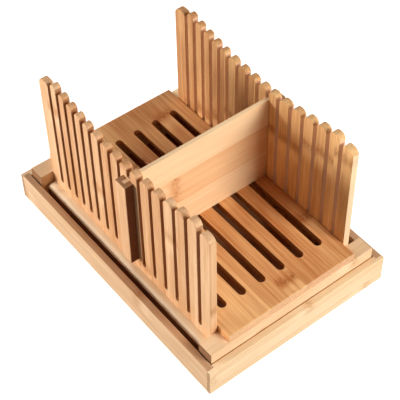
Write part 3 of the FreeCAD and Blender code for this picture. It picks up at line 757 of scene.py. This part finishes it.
def comb_recipe():
    tree, sizes = new_recipe("Comb board", COMB_SIZES)
    line = add_node(tree, "GeometryNodeMeshLine", count=FINGERS * POINTS_PER_FINGER)
    index = Flow(tree.nodes.new("GeometryNodeInputIndex").outputs[0])
    outline = add_node(tree, "GeometryNodeSetPosition", geometry=line.outputs[0],
                       position=outline_point(tree, sizes, index))
    curve = add_node(tree, "GeometryNodeMeshToCurve", mesh=outline.outputs[0])
    loop = add_node(tree, "GeometryNodeSetSplineCyclic", geometry=curve.outputs[0], cyclic=True)
    face = add_node(tree, "GeometryNodeFillCurve", {"mode": "NGONS"}, curve=loop.outputs[0])

    upwards = join_xyz(tree, 0.0, 0.0, 1.0)
    raised = add_node(tree, "GeometryNodeExtrudeMesh", {"mode": "FACES"}, mesh=face.outputs[0],
                      offset=upwards, offset_scale=sizes["Thickness"], individual=False)
    underside = add_node(tree, "GeometryNodeFlipFaces", mesh=face.outputs[0])
    both = tree.nodes.new("GeometryNodeJoinGeometry")
    feed(both.inputs[0], raised.outputs["Mesh"])
    feed(both.inputs[0], underside.outputs[0])
    closed = add_node(tree, "GeometryNodeMergeByDistance", geometry=both.outputs[0],
                      distance=SAME_POINT)

    lying = add_node(tree, "ShaderNodeSeparateXYZ",
                     vector=tree.nodes.new("GeometryNodeInputPosition").outputs[0])
    upright = join_xyz(tree, Flow(lying.outputs["Z"]) + sizes["Inner face"], lying.outputs["X"],
                       lying.outputs["Y"])
    stood_up = add_node(tree, "GeometryNodeSetPosition", geometry=closed.outputs[0],
                        position=upright)
    return end_recipe(tree, sizes, stood_up.outputs[0])


comb_tree = comb_recipe()

# %% [markdown]
# ### Two combs and their feet
#
# The sizes that the construction model knows, such as how long and how thick a comb is, are read
# from it, and the rest of the rule is the same for both combs.  The wood differs: each comb was cut
# from boards of its own.  On the right one the knuckles climb in small steps from strip to strip,
# as they do when the strips come from one cane and are laid in the order in which it was split.
# The tones differ by light as well.  The right comb's deeper orange and its darker strips at the
# back are partly painted shade, as the left comb keeps light off its inner face; the pale walls of
# its slots are partly painted light, and its paled ends a painted highlight.  The brown walls of
# the left comb's slots are partly sawn wood and partly painted shade.
#
# The feet are plain battens with one long edge rounded.  Each stands a few millimetres from the
# tray's wall, and a gap as narrow as that looks almost black.  Light that bounces off the pale
# bamboo would still brighten it here, so the long sides of the feet are painted dark brown: painted
# shade, not the colour of the wood.  The feet's pale tone, paler than the combs', is partly painted
# light on their rounded tops.

# %% Make both combs
COMB_EASE = 0.5 * MM
COMB_EDGE = 1 * MM
# The left comb's slot walls take the sawn brown, partly as painted shade.
LEFT_COMB_LOOKS = {
    "pale": srgb(244, 200, 154), "deep": srgb(208, 150, 100), "seed": 31,
    "knuckle_shift": -130 * MM, "knuckle_strength": 0.25, "sawn_and_painted_light_depth": 0.65}
# Right comb: canes 2 to 5 at the back and its deeper orange are partly painted shade; its pale slot
# walls are partly painted light, its paled end faces a painted highlight.
RIGHT_COMB_LOOKS = {
    "pale": srgb(246, 199, 138), "deep": srgb(192, 135, 86), "seed": 44,
    "canes": {2: 1.1, 3: 1.1, 4: 1.2, 5: 1.2}, "knuckle_shift": 50 * MM, "knuckle_step": 0.0275,
    "knuckle_strength": 0.6, "sawn_and_painted_light_depth": 0.85, "sawn_and_painted_light_tone": srgb(240, 200, 166),
    "highlight_paleness": 0.6}

for side, looks in (("left", LEFT_COMB_LOOKS), ("right", RIGHT_COMB_LOOKS)):
    node = f"{side}_comb_plate"
    low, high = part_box(node)
    comb_bamboo = bamboo(f"bamboo_comb_{side}", "Z", "Y", 21 * MM, start=6 * MM, end_depth=0.1,
                         sawn_and_painted_light_within=high.y - COMB_EDGE, **looks)
    fitted = dict(COMB_SIZES)
    fitted["Comb end"] = high.y
    fitted["Bottom"] = low.z
    fitted["Inner face"] = low.x
    fitted["Thickness"] = high.x - low.x
    comb = follow_recipe(comb_tree, f"{side}_comb_board", fitted, comb_bamboo)
    ease(comb, COMB_EASE)
    stand_in(comb, node, comb_bamboo)
    top = max(corner.co.z for corner in comb.data.vertices)
    print(comb.name, "top", round(top / MM, 2), "mm, in the construction model",
          round(high.z / MM, 2), "mm")

# %% Finish the feet
FOOT_EASE = 0.5 * MM
# Painted shade: the long sides take a dark brown for the dark gap; the pale tone is partly painted
# light on the tops.
foot_bamboo = bamboo("bamboo_feet", "Y", "X", 30 * MM, srgb(255, 234, 200), srgb(244, 212, 174),
                     seed=52, sawn_and_painted_light_within=EVERYWHERE, sawn_and_painted_light_depth=0.92, sawn_and_painted_light_tone=srgb(122, 72, 40))

for node in ("left_comb_foot", "right_comb_foot"):
    eased_board(node, foot_bamboo, FOOT_EASE)

# %% [markdown]
# ## The divider
#
# A thin board of three broad strips, pale at the edges and warmer in the middle, with a small post
# dowelled on each end.  The posts stand outside the combs and show end grain on top.  The dowels
# are already right in the construction model, so they only get their bamboo.

# %% Finish the divider
DIVIDER_EASE = 0.35 * MM
POST_EASE = 0.4 * MM
DIVIDER_CANES = {0: 0.15, 1: 0.25, 2: 0.8, 3: 0.05}

divider_bamboo = bamboo("bamboo_divider", "X", "Z", 33 * MM, srgb(251, 216, 171),
                        srgb(233, 176, 123), start=14 * MM, canes=DIVIDER_CANES,
                        strip_contrast=0.8, streakiness=0.55, knuckle_shift=100 * MM,
                        knuckle_strength=0.5)
# Painted shade: the posts' front and back faces take a dark brown, since the comb keeps the light off
# the front one.
post_bamboo = bamboo("bamboo_posts", "Z", "Y", 16 * MM, srgb(242, 198, 154), srgb(208, 154, 108),
                     start=-3 * MM, seed=61, sawn_and_painted_light_within=EVERYWHERE, sawn_and_painted_light_depth=0.95,
                     sawn_and_painted_light_tone=srgb(112, 62, 34), end_depth=0.7)
pin_bamboo = bamboo("bamboo_pins", "Y", "X", 6 * MM, srgb(140, 88, 52), srgb(104, 62, 36),
                    seed=65)

eased_board("divider_board", divider_bamboo, DIVIDER_EASE)
for node in ("left_post", "right_post"):
    eased_board(node, post_bamboo, POST_EASE)
for node in ("left_post_pins", "right_post_pins", "tray_corner_pins"):
    frame["nodes"][node].data.materials.clear()
    frame["nodes"][node].data.materials.append(pin_bamboo)

# %% [markdown]
# ## Screws
#
# Zinc-plated wood screws hold the deck down from below and the feet to the combs.  Nobody sees them
# until the slicer is taken apart, but then their crossed recesses catch the light.  They all have
# one shape, so the head is made once in Geometry Nodes and set on every point of a row.

# %% A steel for the screws
ZINC_LIGHT = srgb(196, 194, 188)
ZINC_DARK = srgb(150, 148, 144)
STEEL_MOTTLE = 0.8 * MM
STEEL_SMOOTHEST = 0.26
STEEL_UNEVENNESS = 0.2
STEEL_RELIEF_HEIGHT = 0.05 * MM
STEEL_RELIEF_STRENGTH = 0.2


def plated_steel():
    """Zinc plating: a grey mottle that is a little rougher where it is darker."""
    material = bpy.data.materials.new("zinc_plated_steel")
    material.use_nodes = True
    tree = material.node_tree
    shader = tree.nodes["Principled BSDF"]
    place = add_node(tree, "ShaderNodeSeparateXYZ",
                     vector=tree.nodes.new("ShaderNodeTexCoord").outputs["Object"])
    x, y, z = (Flow(place.outputs[axis]) / STEEL_MOTTLE for axis in AXES)
    mottle = noise(tree, x, y, z, detail=4.0)
    colour = mix_colour(tree, mottle, ZINC_LIGHT, ZINC_DARK)
    feed(shader.inputs["Base Color"], colour)
    feed(shader.inputs["Roughness"], STEEL_SMOOTHEST + mottle * STEEL_UNEVENNESS)
    shader.inputs["Metallic"].default_value = 1.0
    bump = add_node(tree, "ShaderNodeBump", strength=STEEL_RELIEF_STRENGTH,
                    distance=STEEL_RELIEF_HEIGHT, height=mottle)
    feed(shader.inputs["Normal"], bump.outputs["Normal"])
    print(f"{material.name}: mottled every {STEEL_MOTTLE / MM:.1f} mm")
    return material


steel = plated_steel()

# %% The sizes of a screw
SCREW_SIZES = ("Head radius", "Head thickness", "Shank radius", "Shank length", "First",
               "Spacing", "Count")
SCREW_SIDES = 24
RECESS_LENGTH = 1.15
RECESS_WIDTH = 0.26
RECESS_SUNK = 0.95


def shifted(tree, geometry, x, y, z):
    """The geometry, moved."""
    node = add_node(tree, "GeometryNodeTransform", geometry=geometry,
                    translation=join_xyz(tree, x, y, z))
    return node.outputs[0]


def recessed_head(tree, sizes):
    """A round head just below z 0, with a cross cut into its lower side."""
    radius, thickness = sizes["Head radius"], sizes["Head thickness"]
    head = add_node(tree, "GeometryNodeMeshCylinder", vertices=SCREW_SIDES, radius=radius,
                    depth=thickness)
    arms = tree.nodes.new("GeometryNodeJoinGeometry")
    for long_way, short_way in ((RECESS_LENGTH, RECESS_WIDTH), (RECESS_WIDTH, RECESS_LENGTH)):
        arm = add_node(tree, "GeometryNodeMeshCube", size=join_xyz(
            tree, radius * long_way, radius * short_way, thickness))
        feed(arms.inputs[0], shifted(tree, arm.outputs[0], 0.0, 0.0, thickness * -RECESS_SUNK))
    recessed = add_node(tree, "GeometryNodeMeshBoolean",
                        {"operation": "DIFFERENCE", "solver": "EXACT"},
                        mesh_1=shifted(tree, head.outputs[0], 0.0, 0.0, thickness * -0.5),
                        mesh_2=arms.outputs[0], self_intersection=True)
    return recessed.outputs["Mesh"]


def screw_recipe():
    """A row of screws along X whose heads lie below z 0 and whose shanks rise above it."""
    tree, sizes = new_recipe("Screw row", SCREW_SIZES)
    shank = add_node(tree, "GeometryNodeMeshCylinder", vertices=SCREW_SIDES,
                     radius=sizes["Shank radius"], depth=sizes["Shank length"])
    screw = tree.nodes.new("GeometryNodeJoinGeometry")
    feed(screw.inputs[0], recessed_head(tree, sizes))
    feed(screw.inputs[0], shifted(tree, shank.outputs[0], 0.0, 0.0, sizes["Shank length"] / 2))
    row = add_node(tree, "GeometryNodeMeshLine", count=sizes["Count"],
                   start_location=join_xyz(tree, sizes["First"], 0.0, 0.0),
                   offset=join_xyz(tree, sizes["Spacing"], 0.0, 0.0))
    screws = add_node(tree, "GeometryNodeInstanceOnPoints", points=row.outputs[0],
                      instance=screw.outputs[0])
    return end_recipe(tree, sizes, screws.outputs[0])


screw_tree = screw_recipe()

# %% [markdown]
# ### Rows of screws in their places
#
# The recipe's row lies along X with the screws pointing up, which suits no screw of the slicer as
# it is.  A matrix carries each row to its place: the deck's two rows only move, and the feet's rows
# turn so that they run along the comb and point outwards through it.

# %% Make one piece of a node's rows
def in_the_middle(screw):
    """The screw's sizes with the row's first place worked out, so that the row is centred."""
    return dict(screw, First=-screw["Spacing"] * (screw["Count"] - 1) / 2)


def screw_rows(node, sizes, rows):
    """One piece for a node of screws: rows are matrices that carry the recipe's row to its place."""
    whole = bmesh.new()
    for index, row in enumerate(rows):
        made = follow_recipe(screw_tree, f"{node}_row{index}", sizes, steel)
        made.data.transform(row)
        whole.from_mesh(made.data)
        bpy.data.objects.remove(made)
    mesh = bpy.data.meshes.new(node + "_detailed")
    whole.to_mesh(mesh)
    whole.free()
    stand_in(new_piece(node + "_detailed", mesh), node, steel)


# %% The deck's screws
deck_screw = in_the_middle({
    "Head radius": 3.5 * MM, "Head thickness": 2.4 * MM, "Shank radius": 1.7 * MM,
    "Spacing": 55.0 * MM, "Count": 3.0})
low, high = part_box("deck_screws")
deck_screw["Shank length"] = high.z - low.z - deck_screw["Head thickness"]
seat_z = low.z + deck_screw["Head thickness"]
row_y = high.y - deck_screw["Head radius"]
screw_rows("deck_screws", deck_screw,
           [Matrix.Translation((0.0, y, seat_z)) for y in (row_y, -row_y)])

# %% The feet's screws
ALONG_COMB = Vector((0.0, 1.0, 0.0))
foot_screw = in_the_middle({
    "Head radius": 3.2 * MM, "Head thickness": 1.8 * MM, "Shank radius": 1.6 * MM,
    "Shank length": 13.0 * MM, "Spacing": 60.0 * MM, "Count": 4.0})

for side, sign in (("left", -1), ("right", 1)):
    low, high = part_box(f"{side}_foot_screws")
    inner = low.x if sign > 0 else high.x
    seat = Vector((inner + sign * foot_screw["Head thickness"], 0.0, (low.z + high.z) / 2))
    outwards = Vector((sign, 0.0, 0.0))
    turn = Matrix((ALONG_COMB, outwards.cross(ALONG_COMB), outwards)).transposed()
    screw_rows(f"{side}_foot_screws", foot_screw, [Matrix.Translation(seat) @ turn.to_4x4()])

# %% [markdown]
# ## Floor, light and camera
#
# The slicer stands on white paper between two soft boxes.  One at the front right lights the front
# faces and the deck.  The other stands low at the back left: it lights the left faces, but it can't
# shine over the tray's wall into the gap beside the comb.  A weak lamp above fills the shadows.
# Little light is left between them, so the slots stay dark and the boards keep their shape.  The slot
# walls and the feet's sides are also darkened with painted shade.
#
# Paper as bright as that would throw its light back on the slicer and wash it out.  So the paper and
# the room are white only for the rays that show them to the camera, and dim for all others.

# %% Rays that show a thing
def looked_at(tree):
    """1 for the rays that show a thing directly, in a mirror or through glass, and 0 for the rest."""
    rays = tree.nodes.new("ShaderNodeLightPath")
    total = 0.0
    for kind in ("Is Camera Ray", "Is Glossy Ray", "Is Transmission Ray"):
        total = Flow(rays.outputs[kind]) + total
    return total.between(0.0, 1.0)


# %% Paper floor
FLOOR_HALF = 4.0
FLOOR_LEVEL = -0.05 * MM
PAPER_SEEN = 0.9
PAPER_BOUNCE = 0.3
PAPER_GLOW = 0.62

corners = [(x * FLOOR_HALF, y * FLOOR_HALF, FLOOR_LEVEL)
           for x, y in ((-1, -1), (1, -1), (1, 1), (-1, 1))]
floor_mesh = bpy.data.meshes.new("paper_floor")
floor_mesh.from_pydata(corners, [], [(0, 1, 2, 3)])
floor = new_piece("paper_floor", floor_mesh)
paper = bpy.data.materials.new("white_paper")
paper.use_nodes = True
paper_shader = paper.node_tree.nodes["Principled BSDF"]
paper_shader.inputs["Roughness"].default_value = 0.9
paper_shader.inputs["Emission Color"].default_value = (1.0, 1.0, 1.0, 1.0)
seen_paper = looked_at(paper.node_tree)
feed(paper_shader.inputs["Base Color"], seen_paper.choose(PAPER_SEEN, PAPER_BOUNCE))
feed(paper_shader.inputs["Emission Strength"], seen_paper * PAPER_GLOW)
floor_mesh.materials.append(paper)
print("paper floor:", 2 * FLOOR_HALF, "m square")

# %% The room
STUDIO_STRENGTH = 0.02

world = bpy.data.worlds.new("dim_studio")
bpy.context.scene.world = world
world.use_nodes = True
studio = world.node_tree.nodes["Background"]
studio.inputs["Color"].default_value = (1.0, 0.985, 0.96, 1.0)
feed(studio.inputs["Strength"], looked_at(world.node_tree).choose(1.0, STUDIO_STRENGTH))
print("room: strength 1 where it is seen,", STUDIO_STRENGTH, "as light")


# %% Lamps
LAMP_AIM = Vector((0.0, 0.0, 60 * MM))
LAMP_DISTANCE = 1.6


def direction(azimuth, elevation):
    """The unit vector towards a place, in degrees; azimuth 0 is the front, 90 the right."""
    turn, rise = math.radians(azimuth), math.radians(elevation)
    return Vector((math.sin(turn) * math.cos(rise), -math.cos(turn) * math.cos(rise),
                   math.sin(rise)))


def soft_lamp(name, azimuth, elevation, size, watts, colour):
    """A square lamp that looks at the middle of the slicer."""
    data = bpy.data.lights.new(name, "AREA")
    data.size = size
    data.energy = watts
    data.color = colour
    lamp = new_piece(name, data)
    away = direction(azimuth, elevation)
    lamp.location = LAMP_AIM + away * LAMP_DISTANCE
    lamp.rotation_mode = "QUATERNION"
    lamp.rotation_quaternion = (-away).to_track_quat("-Z", "Y")
    print(f"{name}: {watts} W from azimuth {azimuth}, elevation {elevation}")


soft_lamp("key_lamp", azimuth=19, elevation=28, size=0.6, watts=25.5, colour=(1.0, 0.99, 0.97))
soft_lamp("rear_lamp", azimuth=-118, elevation=10, size=0.5, watts=26.0, colour=(1.0, 0.96, 0.93))
soft_lamp("top_lamp", azimuth=180, elevation=62, size=0.6, watts=8.0, colour=(0.94, 0.97, 1.0))

# %% [markdown]
# ### Camera
#
# The camera stands more than a metre away and has a long lens, so that near and far ends of the
# slicer keep nearly the same scale.  Two angles and a distance say where it stands, seen from the
# point that it looks at.  They are easier to adjust than three coordinates, and the three axes of
# the camera follow from them.  The roll turns the picture by about a degree.

# %% Camera
CAMERA_AZIMUTH = -37.309
CAMERA_ELEVATION = 48.475
CAMERA_ROLL = -1.152
CAMERA_DISTANCE = 1.1335
CAMERA_AIM = Vector((0.0197, 0.0169, 0.0224))
SENSOR_WIDTH = 36.0
LENS = 107.49
LENS_SHIFT = (-0.0050, -0.0024)

back = direction(CAMERA_AZIMUTH, CAMERA_ELEVATION)
level = direction(CAMERA_AZIMUTH + 90, 0.0)
rise = back.cross(level)
roll = math.radians(CAMERA_ROLL)
right = level * math.cos(roll) + rise * math.sin(roll)
top = rise * math.cos(roll) - level * math.sin(roll)

camera_data = bpy.data.cameras.new("camera")
camera_data.sensor_width = SENSOR_WIDTH
camera_data.lens = LENS
camera_data.shift_x, camera_data.shift_y = LENS_SHIFT
camera = new_piece("camera", camera_data)
camera.matrix_world = (Matrix.Translation(CAMERA_AIM + back * CAMERA_DISTANCE)
                       @ Matrix((right, top, back)).transposed().to_4x4())
bpy.context.scene.camera = camera
bpy.context.scene.view_settings.view_transform = "Standard"
print(f"camera: {LENS} mm lens, {CAMERA_DISTANCE} m from the slicer")
